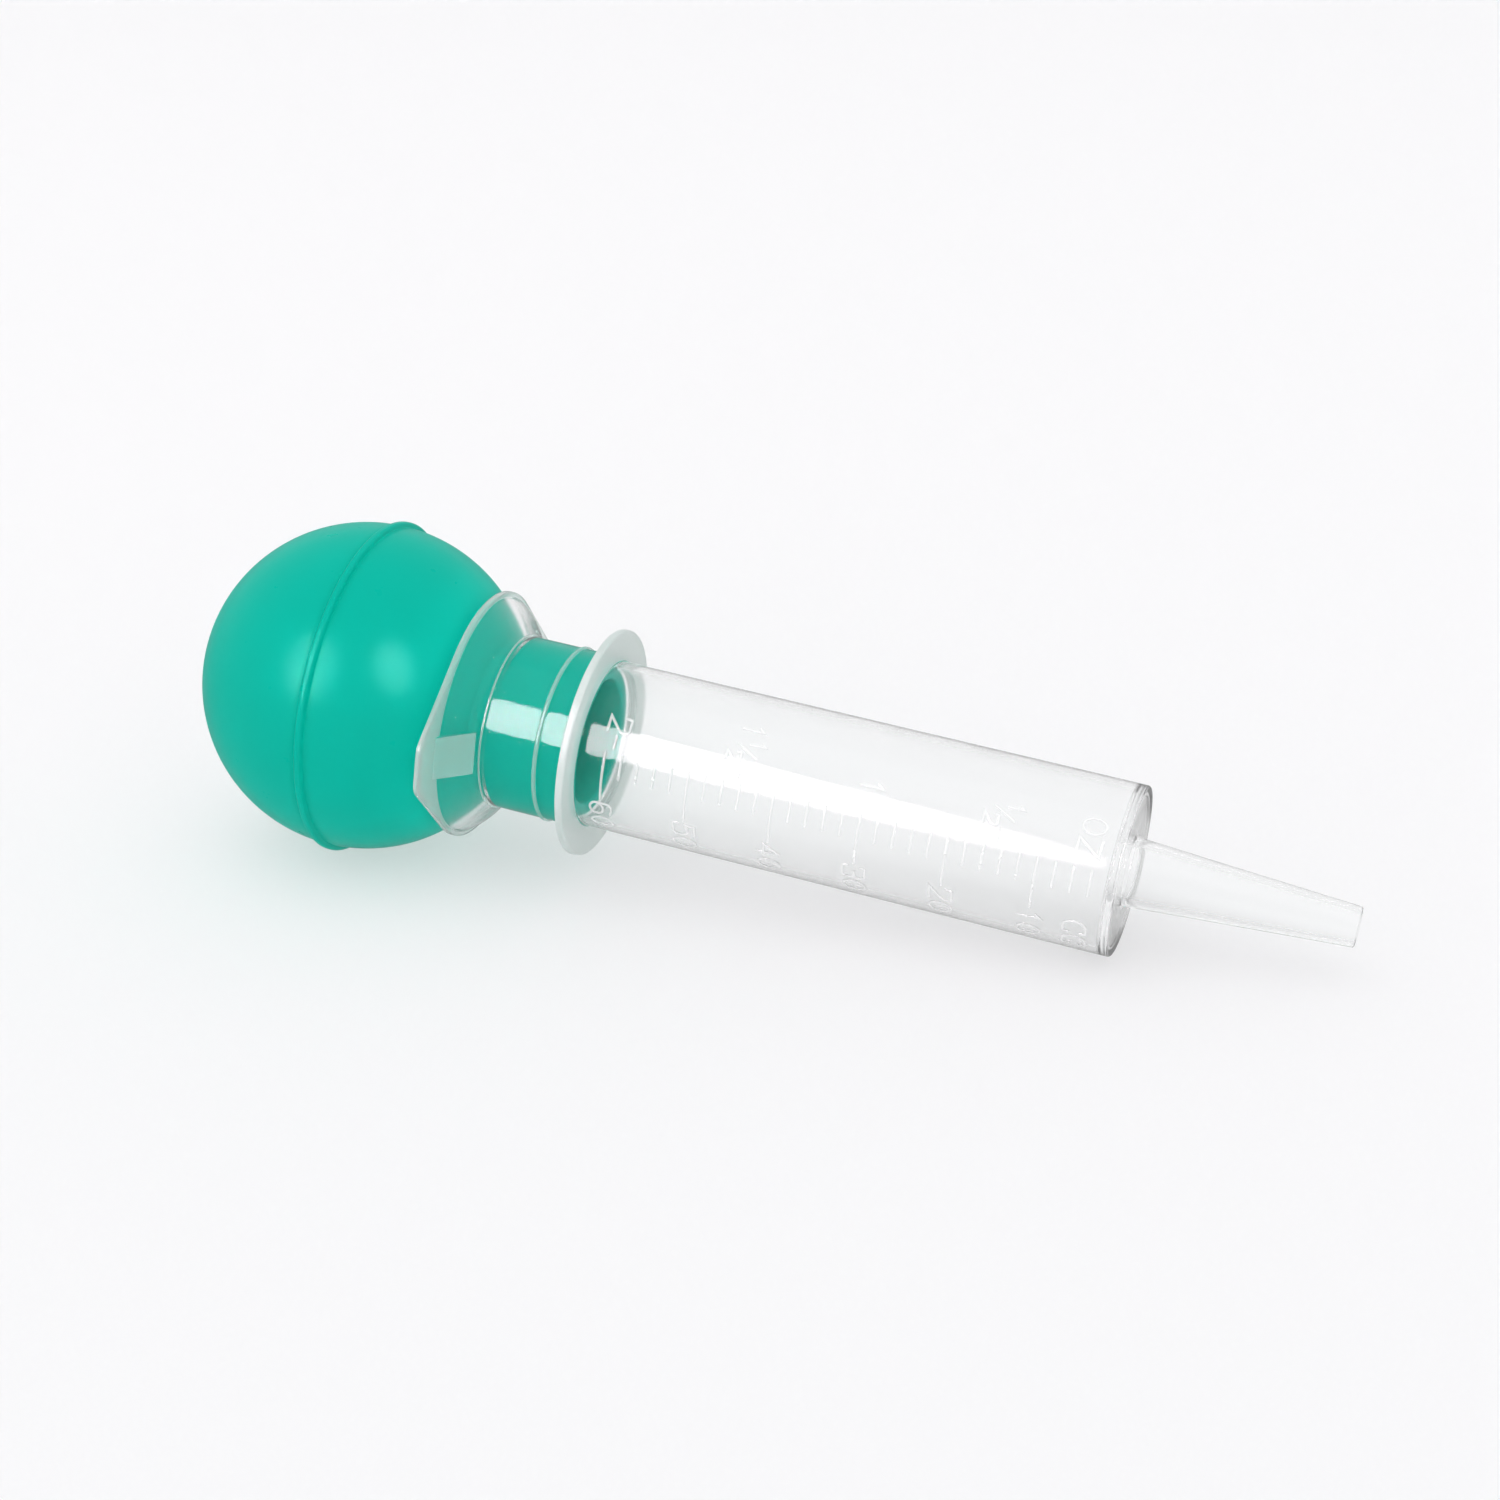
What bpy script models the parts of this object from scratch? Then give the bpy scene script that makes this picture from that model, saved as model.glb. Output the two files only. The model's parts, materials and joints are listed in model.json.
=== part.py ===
"""Bulb irrigation syringe: a soft round squeeze bulb plugged into a clear graduated barrel.

The syringe lies on a flat surface, touching it with the moulding rib around the bulb and
with the edge of the barrel's closed end. Lengths are metres. Along the syringe, stations
are measured from the centre of the bulb towards the nozzle, and radii from the axis.
"""
import math

import bmesh
import bpy
from mathutils import Matrix, Vector

MM = 0.001
SEGMENTS = 48                       # facets round every turned piece
HALF_FACET = math.pi / SEGMENTS     # turns a flat facet to the floor

# Bulb
BULB_R = 30.2 * MM
BULB_WALL = 2.0 * MM
RIB_R = 31.2 * MM                   # parting-line rib round the bulb
RIB_HALF_WIDTH = 0.8 * MM
RIB_STATION = 1.0 * MM
NECK_R = 13.9 * MM
NECK_BORE_R = 11.5 * MM
NECK_END = 46.0 * MM
NECK_FILLET = 2.5 * MM

# The two squeezed walls of the bulb
WALL_R = 20.0 * MM                  # radius of each wall's edge, seen along Y
WALL_GAP = 0.3 * MM

# Finger flange: a bell round the bulb with two flat wings
RIM_STATION = 22.8 * MM
RIM_THICKNESS = 0.8 * MM
BELL_R = 22.9 * MM
BELL_INNER_R = 21.6 * MM
BELL_BULGE = 0.5 * MM
WING_SPAN = 59.6 * MM
WING_END_WIDTH = 8.4 * MM
WING_THICKNESS = 1.2 * MM
WING_CORNER = 1.2 * MM
WING_ROOT_R = 22.2 * MM
WING_TURN = math.radians(-3.0)      # the barrel lies turned a little about its axis
PAD_WIDTH = 8.0 * MM                # stiffening pad between each wing and the bell
PAD_OUTER_R = 23.6 * MM
PAD_INNER_R = 16.6 * MM
PAD_TOP_STATION = 29.3 * MM

# Collar that grips the bulb's neck
COLLAR_START = 29.35 * MM
COLLAR_R = 15.9 * MM
COLLAR_BORE_R = 14.25 * MM
COLLAR_BORE_END = 46.5 * MM
RIDGE_STATION = 39.9 * MM
RIDGE_R = 16.4 * MM
RIDGE_HALF_WIDTH = 0.5 * MM
DISC_STATION = 45.9 * MM
DISC_THICKNESS = 1.5 * MM
DISC_R = 20.9 * MM
DISC_EDGE = 0.3 * MM

# Barrel tube and its closed end
TUBE_R = 15.25 * MM
TUBE_BORE_R = 14.0 * MM
TUBE_END = 144.8 * MM
TUBE_EDGE = 0.5 * MM
END_THICKNESS = 1.5 * MM

# Tapered catheter nozzle
NOZZLE_ROOT_R = 6.15 * MM
NOZZLE_FILLET = 0.8 * MM
NOZZLE_STEP = 155.8 * MM
NOZZLE_STEP_R = 5.4 * MM
NOZZLE_TIP = 184.4 * MM
NOZZLE_TIP_R = 3.55 * MM
BORE_ROOT_R = 4.75 * MM
BORE_STEP_R = 4.05 * MM
BORE_TIP_R = 2.45 * MM

# Lying flat: the rib and the end's edge are both on the floor
TILT = math.asin((RIB_R - TUBE_R) / (TUBE_END - RIB_STATION))

GREEN = (0.0, 0.42, 0.33, 1.0)
CLEAR = (0.88, 0.91, 0.90, 1.0)


def clear_scene():
    for existing in list(bpy.data.objects):
        bpy.data.objects.remove(existing, do_unlink=True)


def make_material(name, colour, roughness, transmission):
    material = bpy.data.materials.new(name)
    material.use_nodes = True
    shader = material.node_tree.nodes["Principled BSDF"]
    shader.inputs["Base Color"].default_value = colour
    shader.inputs["Roughness"].default_value = roughness
    shader.inputs["Metallic"].default_value = 0.0
    shader.inputs["Transmission Weight"].default_value = transmission
    return material


def arc(centre, radius, start, end, steps):
    """Points (radius, station) on a circle, angles from the radial direction."""
    points = []
    for i in range(steps + 1):
        angle = start + (end - start) * i / steps
        points.append((centre[0] + radius * math.cos(angle), centre[1] + radius * math.sin(angle)))
    return points


def bowed(start, end, bulge, steps):
    """Points from start to end on a shallow curve that stands bulge off its chord."""
    chord = Vector(end) - Vector(start)
    side = Vector((-chord.y, chord.x)).normalized()
    points = []
    for i in range(steps + 1):
        t = i / steps
        points.append(tuple(Vector(start) + chord * t + side * bulge * 4.0 * t * (1.0 - t)))
    return points


def link_solid(bm, name):
    """Turns a bmesh into an object in the scene, with its faces pointing out."""
    bmesh.ops.recalc_face_normals(bm, faces=bm.faces)
    mesh = bpy.data.meshes.new(name)
    bm.to_mesh(mesh)
    bm.free()
    obj = bpy.data.objects.new(name, mesh)
    bpy.context.collection.objects.link(obj)
    return obj


def extrude_cap(bm, cap, step):
    """Grows one polygon of vertices into a prism along the vector step."""
    grown = bmesh.ops.extrude_face_region(bm, geom=[bm.faces.new(cap)])
    moved = [item for item in grown["geom"] if isinstance(item, bmesh.types.BMVert)]
    bmesh.ops.translate(bm, verts=moved, vec=step)


def turn(name, profile, closed):
    """A solid made by spinning a (radius, station) outline about the Z axis."""
    bm = bmesh.new()
    verts = [bm.verts.new((radius, 0.0, station)) for radius, station in profile]
    edges = [bm.edges.new(pair) for pair in zip(verts, verts[1:])]
    if closed:
        edges.append(bm.edges.new((verts[-1], verts[0])))
    bmesh.ops.spin(bm, geom=verts + edges, cent=(0, 0, 0), axis=(0, 0, 1), dvec=(0, 0, 0),
                   angle=2.0 * math.pi, steps=SEGMENTS, use_merge=True)
    bmesh.ops.remove_doubles(bm, verts=bm.verts, dist=1e-7)
    bmesh.ops.rotate(bm, verts=bm.verts, cent=(0, 0, 0),
                     matrix=Matrix.Rotation(HALF_FACET, 3, "Z"))
    return link_solid(bm, name)


def plate_along_z(name, outline, z_from, z_to):
    """A prism whose (x, y) outline is extruded along Z."""
    bm = bmesh.new()
    extrude_cap(bm, [bm.verts.new((x, y, z_from)) for x, y in outline], (0, 0, z_to - z_from))
    return link_solid(bm, name)


def plate_along_x(name, outline, x_from, x_to):
    """A prism whose (y, z) outline is extruded along X."""
    bm = bmesh.new()
    extrude_cap(bm, [bm.verts.new((x_from, y, z)) for y, z in outline], (x_to - x_from, 0, 0))
    return link_solid(bm, name)


def cylinder_along_y(name, radius, y_from, y_to):
    bm = bmesh.new()
    ring = []
    for i in range(SEGMENTS):
        angle = 2.0 * math.pi * i / SEGMENTS + HALF_FACET
        ring.append(bm.verts.new((radius * math.cos(angle), y_from, radius * math.sin(angle))))
    extrude_cap(bm, ring, (0, y_to - y_from, 0))
    return link_solid(bm, name)


def boolean(target, tool, operation, parent):
    """Cuts or joins target with a hidden tool that moves with the same parent."""
    modifier = target.modifiers.new(tool.name, "BOOLEAN")
    modifier.operation = operation
    modifier.solver = "EXACT"
    modifier.object = tool
    tool.hide_render = True
    tool.display_type = "WIRE"
    tool.parent = parent


def finish(obj, material, parent):
    obj.data.materials.clear()
    obj.data.materials.append(material)
    obj.data.shade_smooth()
    obj.data.set_sharp_from_angle(angle=math.radians(35.0))
    obj.parent = parent


# --- Barrel ---------------------------------------------------------------------------------

def barrel_profile():
    """Outline of the barrel moulding, down its inner side and back up its outer side."""
    rim_inner = (BELL_INNER_R, RIM_STATION)
    bell_root = (COLLAR_BORE_R, COLLAR_START + 0.6 * MM)
    bell_in = bowed(rim_inner, bell_root, -BELL_BULGE, 6)
    bore = [
        (COLLAR_BORE_R, COLLAR_BORE_END),
        (TUBE_BORE_R, COLLAR_BORE_END + 0.9 * MM),
        (TUBE_BORE_R, 95.0 * MM),
        (TUBE_BORE_R, TUBE_END - END_THICKNESS),
        (BORE_ROOT_R, TUBE_END - END_THICKNESS),
        (BORE_STEP_R, NOZZLE_STEP),
        (BORE_TIP_R, NOZZLE_TIP),
    ]
    nozzle = [
        (NOZZLE_TIP_R - 0.25 * MM, NOZZLE_TIP),
        (NOZZLE_TIP_R, NOZZLE_TIP - 0.3 * MM),
        (NOZZLE_STEP_R, NOZZLE_STEP),
        (NOZZLE_ROOT_R, TUBE_END + NOZZLE_FILLET),
        (NOZZLE_ROOT_R + 0.25 * NOZZLE_FILLET, TUBE_END + 0.25 * NOZZLE_FILLET),
        (NOZZLE_ROOT_R + NOZZLE_FILLET, TUBE_END),
    ]
    tube = [
        (TUBE_R - TUBE_EDGE, TUBE_END),
        (TUBE_R - 0.25 * TUBE_EDGE, TUBE_END - 0.25 * TUBE_EDGE),
        (TUBE_R, TUBE_END - TUBE_EDGE),
        (TUBE_R, 95.0 * MM),
        (TUBE_R, DISC_STATION + DISC_THICKNESS),
    ]
    disc = [
        (DISC_R - DISC_EDGE, DISC_STATION + DISC_THICKNESS),
        (DISC_R, DISC_STATION + DISC_THICKNESS - DISC_EDGE),
        (DISC_R, DISC_STATION + DISC_EDGE),
        (DISC_R - DISC_EDGE, DISC_STATION),
        (COLLAR_R, DISC_STATION),
    ]
    ridge = [
        (COLLAR_R, RIDGE_STATION + RIDGE_HALF_WIDTH),
        (RIDGE_R, RIDGE_STATION),
        (COLLAR_R, RIDGE_STATION - RIDGE_HALF_WIDTH),
    ]
    rim_outer = (BELL_R, RIM_STATION + RIM_THICKNESS)
    bell_out = bowed((COLLAR_R, COLLAR_START), rim_outer, BELL_BULGE, 6)
    bell_out[0] = (COLLAR_R, COLLAR_START)
    return bell_in + bore + nozzle + tube + disc + ridge + bell_out + [(BELL_R, RIM_STATION)]


def wing_outline(side):
    """Outline of one wing plate in the XY plane: tangent edges from the rim to a cut end."""
    end_y = WING_SPAN / 2.0
    half_end = WING_END_WIDTH / 2.0
    reach = math.hypot(end_y, half_end)
    tangent = math.acos(BELL_R / reach) + math.atan2(half_end, end_y)
    points = []
    for i in range(9):
        angle = -tangent + 2.0 * tangent * i / 8
        points.append((WING_ROOT_R * math.sin(angle), WING_ROOT_R * math.cos(angle)))
    points.append((BELL_R * math.sin(tangent), BELL_R * math.cos(tangent)))
    points.append((half_end + 0.55 * WING_CORNER, end_y - 0.6 * WING_CORNER))
    points.append((half_end - WING_CORNER, end_y))
    points.append((WING_CORNER - half_end, end_y))
    points.append((-half_end - 0.55 * WING_CORNER, end_y - 0.6 * WING_CORNER))
    points.append((-BELL_R * math.sin(tangent), BELL_R * math.cos(tangent)))
    return [(x, side * y) for x, y in points]


def pad_outline(side):
    """Side view of a stiffening pad, in the YZ plane, sunk into the bell and the wing."""
    sunk = 0.35 * MM
    points = [
        (PAD_OUTER_R, RIM_STATION + WING_THICKNESS - sunk),
        (PAD_OUTER_R, RIM_STATION + WING_THICKNESS),
        (PAD_INNER_R, PAD_TOP_STATION),
        (PAD_INNER_R - sunk, PAD_TOP_STATION - sunk),
        (WING_ROOT_R, RIM_STATION + WING_THICKNESS - sunk),
    ]
    return [(side * y, z) for y, z in points]


def build_barrel(parent, material):
    barrel = turn("barrel", barrel_profile(), closed=True)
    top = RIM_STATION + WING_THICKNESS
    for side, label in ((-1, "near"), (1, "far")):
        wing = plate_along_z("wing_" + label, wing_outline(side), RIM_STATION, top)
        pad = plate_along_x("pad_" + label, pad_outline(side), -PAD_WIDTH / 2.0, PAD_WIDTH / 2.0)
        wing.data.transform(Matrix.Rotation(WING_TURN, 4, "Z"))
        pad.data.transform(Matrix.Rotation(WING_TURN, 4, "Z"))
        boolean(barrel, wing, "UNION", parent)
        boolean(barrel, pad, "UNION", parent)
    finish(barrel, material, parent)


# --- Bulb -----------------------------------------------------------------------------------

def sphere_arc(radius, start_station, end_station, steps):
    """Points on a sphere round the bulb's centre, from one station to another."""
    start = math.asin(max(-1.0, start_station / radius))
    end = math.asin(min(1.0, end_station / radius))
    points = []
    for i in range(steps + 1):
        angle = start + (end - start) * i / steps
        points.append((radius * math.cos(angle), radius * math.sin(angle)))
    return points


def bulb_profile():
    """Outline of the bulb moulding: outside from the back pole to the neck, then inside back."""
    rib_low = RIB_STATION - RIB_HALF_WIDTH
    rib_high = RIB_STATION + RIB_HALF_WIDTH
    back = sphere_arc(BULB_R, -BULB_R, rib_low, 12)
    back[0] = (0.0, -BULB_R)
    rib = [
        (RIB_R - 0.1 * MM, rib_low + 0.15 * MM),
        (RIB_R, RIB_STATION - 0.3 * MM),
        (RIB_R, RIB_STATION + 0.3 * MM),
        (RIB_R - 0.1 * MM, rib_high - 0.15 * MM),
    ]
    fillet_r = NECK_R + NECK_FILLET
    fillet_station = math.sqrt((BULB_R + NECK_FILLET) ** 2 - fillet_r ** 2)
    meet = math.atan2(fillet_station, fillet_r)
    front_end = BULB_R * math.sin(meet)
    front = sphere_arc(BULB_R, rib_high, front_end, 9)
    blend = arc((fillet_r, fillet_station), NECK_FILLET, math.pi + meet, math.pi, 3)
    neck = [
        (NECK_R, NECK_END - 0.6 * MM),
        (NECK_R - 0.5 * MM, NECK_END),
        (NECK_BORE_R + 0.2 * MM, NECK_END),
        (NECK_BORE_R, NECK_END - 0.2 * MM),
    ]
    inner_r = BULB_R - BULB_WALL
    mouth = math.sqrt(inner_r ** 2 - NECK_BORE_R ** 2)
    inside = sphere_arc(inner_r, -inner_r, mouth, 18)
    inside[0] = (0.0, -inner_r)
    return back + rib + front + blend[1:] + neck + inside[::-1]


def build_bulb(parent, material):
    body = turn("bulb_body", bulb_profile(), closed=False)
    start = NECK_BORE_R / 2.0
    reach = RIB_R + BULB_WALL
    for side, name in ((-1, "bulb_thumb_wall"), (1, "bulb_finger_wall")):
        hole = cylinder_along_y("hole_" + name, WALL_R, side * start, side * reach)
        plug = cylinder_along_y("plug_" + name, WALL_R - WALL_GAP, side * start, side * reach)
        wall = turn(name, bulb_profile(), closed=False)
        boolean(body, hole, "DIFFERENCE", parent)
        boolean(wall, plug, "INTERSECT", parent)
        finish(wall, material, parent)
    finish(body, material, parent)


# --- Placing --------------------------------------------------------------------------------

def stand_on_floor(axis):
    """Moves the syringe so that its box is centred on the origin and stands on Z = 0."""
    bpy.context.view_layer.update()
    graph = bpy.context.evaluated_depsgraph_get()
    low = Vector((1e9, 1e9, 1e9))
    high = -low
    for obj in bpy.data.objects:
        if obj.type != "MESH" or obj.hide_render:
            continue
        shape = obj.evaluated_get(graph)
        for vertex in shape.to_mesh().vertices:
            point = shape.matrix_world @ vertex.co
            low = Vector(map(min, low, point))
            high = Vector(map(max, high, point))
        shape.to_mesh_clear()
    axis.location -= Vector(((low.x + high.x) / 2.0, (low.y + high.y) / 2.0, low.z))
    bpy.context.view_layer.update()


def main():
    clear_scene()
    green = make_material("bulb_green", GREEN, 0.38, 0.0)
    clear = make_material("barrel_clear", CLEAR, 0.22, 0.8)
    axis = bpy.data.objects.new("syringe_axis", None)
    bpy.context.collection.objects.link(axis)
    axis.rotation_euler = (0.0, math.pi / 2.0 + TILT, 0.0)
    build_barrel(axis, clear)
    build_bulb(axis, green)
    stand_on_floor(axis)


main()
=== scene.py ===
"""Looks for a bulb irrigation syringe: a green squeeze bulb plugged into a clear graduated barrel.

Lengths are metres. Both mouldings are turned about the syringe's axis. Stations are measured
along the axis from the centre of the bulb towards the nozzle, and radii from the axis.
"""
import json
import math

import bmesh
import bpy
from mathutils import Matrix, Vector


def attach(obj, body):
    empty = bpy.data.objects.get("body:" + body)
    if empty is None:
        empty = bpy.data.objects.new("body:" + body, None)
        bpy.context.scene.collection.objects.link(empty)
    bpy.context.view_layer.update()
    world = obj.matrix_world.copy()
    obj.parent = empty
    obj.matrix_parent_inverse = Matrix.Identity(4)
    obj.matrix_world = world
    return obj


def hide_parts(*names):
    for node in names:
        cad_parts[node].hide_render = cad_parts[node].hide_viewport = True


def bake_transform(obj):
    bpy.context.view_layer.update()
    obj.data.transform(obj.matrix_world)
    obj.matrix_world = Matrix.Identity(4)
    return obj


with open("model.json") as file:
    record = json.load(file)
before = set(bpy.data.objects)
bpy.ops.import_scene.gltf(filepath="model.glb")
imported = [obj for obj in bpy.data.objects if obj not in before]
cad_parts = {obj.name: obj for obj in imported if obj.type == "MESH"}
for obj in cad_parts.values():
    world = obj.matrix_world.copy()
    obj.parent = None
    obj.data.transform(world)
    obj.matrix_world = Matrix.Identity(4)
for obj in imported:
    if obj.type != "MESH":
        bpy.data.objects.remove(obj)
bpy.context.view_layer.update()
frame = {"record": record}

MM = 0.001

# --- Where the syringe lies, read from the frame ---------------------------------------------
NOZZLE_TIP = 184.4 * MM
TIP_FACE_R = 2.9 * MM               # the tip mount's point, this far from the axis
mounts = {mount["name"]: mount for mount in frame["record"]["mounts"]}
AXIS = Vector(mounts["nozzle_tip"]["axis"]).normalized()
SIDE = Vector((0.0, 1.0, 0.0))
DOWN = SIDE.cross(AXIS)
CENTRE = Vector(mounts["nozzle_tip"]["pos_m"]) - AXIS * NOZZLE_TIP - DOWN * TIP_FACE_R
TO_FRAME = Matrix.Translation(CENTRE) @ Matrix((DOWN, SIDE, AXIS)).transposed().to_4x4()

# --- Bulb -------------------------------------------------------------------------------------
BULB_R = 30.19 * MM
BULB_INNER_R = 28.2 * MM
RIB_R = 31.1 * MM
RIB_STATION = 1.0 * MM
NECK_R = 14.3 * MM                  # squeezed tight in the collar, with no air between them
NECK_BORE_R = 11.5 * MM
NECK_END = 46.0 * MM
NECK_FILLET = 2.5 * MM
RIB_GROOVE = 1.15 * MM              # half the width of the rib with the grooves beside it
GROOVE_DEPTH = 0.12 * MM
BULB_SEGMENTS = 192

# --- Barrel -----------------------------------------------------------------------------------
RIM_STATION = 22.8 * MM
PLATE_TOP = 24.0 * MM
BELL_R = 22.9 * MM
BELL_MEETS_PLATE_R = 22.1 * MM
BELL_INNER_R = 21.7 * MM
BELL_BULGE = 0.5 * MM
WING_END = 29.8 * MM
WING_HALF_WIDTH = 4.2 * MM
WING_TURN = math.radians(-3.0)      # the barrel lies turned a little about its axis
WING_SOFTNESS = 60.0
PAD_HALF_WIDTH = 4.0 * MM
PAD_OUTER_R = 23.6 * MM
PAD_SUNK = 0.4 * MM                 # the pad's foot reaches this far into the rim plate
COLLAR_START = 29.35 * MM
COLLAR_R = 15.9 * MM
COLLAR_BORE_R = 14.25 * MM
COLLAR_BORE_END = 46.5 * MM
RIDGE_STATION = 39.9 * MM
RIDGE_HEIGHT = 0.35 * MM
BARREL_SEGMENTS = 360
DISC_BACK = 45.9 * MM
DISC_FRONT = 47.4 * MM
DISC_R = 20.9 * MM
TUBE_R = 15.21 * MM
TUBE_BORE_R = 14.0 * MM
TUBE_END = 144.8 * MM
END_INNER = 143.3 * MM
NOZZLE_ROOT_R = 6.15 * MM
NOZZLE_STEP = 155.8 * MM
NOZZLE_STEP_R = 5.4 * MM
NOZZLE_TIP_R = 3.55 * MM
BORE_ROOT_R = 4.75 * MM
BORE_STEP_R = 4.05 * MM
BORE_TIP_R = 2.45 * MM

# --- Moulded scale ----------------------------------------------------------------------------
CC_ZERO = 146.6 * MM                # station of the scale's zero, inside the nozzle's root
CC_STEP = 1.57 * MM                 # length of one cc of bore
OUNCE = 29.57                       # cc in a fluid ounce
MARK_HEIGHT = 0.2 * MM
MARK_SINK = 0.15 * MM
MARK_WIDTH = 0.46 * MM
GLYPH_WIDTH = 3.2 * MM
GLYPH_HEIGHT = 4.5 * MM
GLYPH_PITCH = 3.8 * MM
CC_TICK_TOP = 5.9 * MM              # arcs on the tube from its near side, positive upwards
CC_MINOR_END = 1.6 * MM
CC_MAJOR_END = -3.4 * MM
CC_NUMBER = -7.4 * MM
OZ_TICK_TOP = 9.1 * MM
OZ_TICK_END = 6.9 * MM
OZ_NUMBER = 11.1 * MM
OZ_UNIT = 13.5 * MM
UNIT_STATION = 138.9 * MM
LAST_CC = 60

# --- Camera -----------------------------------------------------------------------------------
VIEW_TARGET = Vector((-2.04, -0.09, 28.47)) * MM
VIEW_DISTANCE = 510.2 * MM
VIEW_AZIMUTH = math.radians(19.03)
VIEW_ELEVATION = math.radians(24.36)
VIEW_ROLL = math.radians(0.44)
VIEW_LENS = 68.9

# --- Colours and surfaces ---------------------------------------------------------------------
BULB_DEEP = (0.0, 0.445, 0.335, 1.0)
BULB_LIGHT = (0.0, 0.495, 0.378, 1.0)
PLASTIC = (0.996, 1.0, 0.998, 1.0)
# painted green light: the milky and cloudy parts are tinted green as if lit through by the green bulb
PLASTIC_PAINTED_GREEN_LIGHT = (0.94, 1.0, 0.98, 1.0)
# the neck's greens are painted paler than the bulb's: painted light against the shade inside the
# collar
NECK_PAINTED_LIGHT_DEEP = (0.0, 0.60, 0.46, 1.0)
NECK_PAINTED_LIGHT_PALE = (0.0, 0.67, 0.52, 1.0)
PAINTED_LIGHT_START = 12.0 * MM            # stations between which the bulb's green turns into the paler green of painted light
PAINTED_LIGHT_END = 30.0 * MM
PLASTIC_IOR = 1.27
CLEAR = (0.997, 0.08, 0.14)         # share of light let through, lowest and highest roughness
MILKY = (0.7, 0.12, 0.2)
CLOUDY = (0.48, 0.28, 0.38)
FROSTED = (0.36, 0.2, 0.3)
FLOOR_COLOUR = (0.41, 0.41, 0.413, 1.0)
FLOOR_GLOW_COLOUR = (0.99, 0.99, 1.0, 1.0)
ROOM_COLOUR = (0.985, 0.99, 1.0, 1.0)
PANEL_COLOUR = (1.0, 0.85, 0.91, 1.0)

# --- Light ------------------------------------------------------------------------------------
WORLD_STRENGTH = 0.915
WORLD_SHINE = 0.66                  # share of the room's light that glossy surfaces mirror
FLOOR_GLOW = 0.5                    # the floor is a light table, which keeps shadows pale
FLOOR_SHINE = 0.33                  # how bright the floor looks where a glossy surface mirrors it
FLOOR_SIZE = 12.0
OVERHEAD_WAY = (-0.1, -0.25, 1.0)
OVERHEAD_DISTANCE = 2.2
OVERHEAD_SIZE = 2.0
OVERHEAD_POWER = 10.0
PANEL_DISTANCE = 2.0
PANEL_CORNERS = 32
LEFT_PANEL = ((-0.276, -0.82, 0.5), 1.15, 1.45, 38.0)   # direction, width, height, radiance
RIGHT_PANEL = ((0.63, -0.57, 0.53), 0.85, 1.15, 45.0)


# --- Outlines ---------------------------------------------------------------------------------

def rounded(corners, closed, longest=2.5 * MM):
    """Points (radius, station) along straight runs with an arc of the given size at each corner.

    A corner is (radius, station, rounding). Long runs get points in between.
    """
    count = len(corners)
    points = []
    for i, (radius, station, rounding) in enumerate(corners):
        here = Vector((radius, station))
        if rounding <= 0.0 or (not closed and i in (0, count - 1)):
            points.append(here)
            continue
        before = Vector(corners[i - 1][:2]) - here
        after = Vector(corners[(i + 1) % count][:2]) - here
        half = before.angle(after) / 2.0
        cut = min(rounding / math.tan(half), 0.48 * before.length, 0.48 * after.length)
        start = here + before.normalized() * cut
        end = here + after.normalized() * cut
        middle = (before.normalized() + after.normalized()).normalized()
        size = cut * math.tan(half)
        centre = here + middle * (size / math.sin(half))
        sweep = math.pi - 2.0 * half
        steps = max(2, int(math.ceil(sweep / math.radians(18.0))))
        for k in range(steps + 1):
            spot = start.lerp(end, k / steps)
            points.append(centre + (spot - centre).normalized() * size)
    filled = []
    last = len(points) if closed else len(points) - 1
    for i in range(last):
        here, ahead = points[i], points[(i + 1) % len(points)]
        pieces = max(1, int(math.ceil((ahead - here).length / longest)))
        for k in range(pieces):
            filled.append(here.lerp(ahead, k / pieces))
    if not closed:
        filled.append(points[-1])
    return [tuple(point) for point in filled]


def bowed(start, end, bulge, steps):
    """Corners, with no rounding, on a shallow curve that stands bulge off its chord."""
    chord = Vector(end) - Vector(start)
    side = Vector((-chord.y, chord.x)).normalized()
    corners = []
    for i in range(steps + 1):
        t = i / steps
        point = Vector(start) + chord * t + side * bulge * 4.0 * t * (1.0 - t)
        corners.append((point.x, point.y, 0.0))
    return corners


def sphere_corners(radius, start, end, steps):
    """Corners on a sphere round the bulb's centre, from one station to another."""
    low = math.asin(start / radius)
    high = math.asin(end / radius)
    corners = []
    for i in range(steps + 1):
        angle = low + (high - low) * i / steps
        corners.append((max(0.0, radius * math.cos(angle)), radius * math.sin(angle), 0.0))
    return corners


def turn(profile, segments, closed, reshape=None):
    """A bmesh of an outline spun about the axis, with reshape(radius, station, angle)."""
    bm = bmesh.new()
    rings = []
    for radius, station in profile:
        if radius < 1e-7:
            rings.append([bm.verts.new((0.0, 0.0, station))])
            continue
        ring = []
        for i in range(segments):
            angle = 2.0 * math.pi * i / segments
            spot = reshape(radius, station, angle) if reshape else radius
            ring.append(bm.verts.new((spot * math.cos(angle), spot * math.sin(angle), station)))
        rings.append(ring)
    pairs = list(zip(rings, rings[1:]))
    if closed:
        pairs.append((rings[-1], rings[0]))
    for upper, lower in pairs:
        for i in range(segments):
            k = (i + 1) % segments
            corners = [upper[i % len(upper)], upper[k % len(upper)],
                       lower[k % len(lower)], lower[i % len(lower)]]
            bm.faces.new(list(dict.fromkeys(corners)))
    bmesh.ops.recalc_face_normals(bm, faces=bm.faces)
    return bm


def to_object(name, bm):
    """Places a bmesh made round the Z axis where the syringe lies."""
    mesh = bpy.data.meshes.new(name)
    bm.to_mesh(mesh)
    bm.free()
    mesh.transform(TO_FRAME)
    obj = bpy.data.objects.new(name, mesh)
    bpy.context.collection.objects.link(obj)
    return obj


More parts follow.
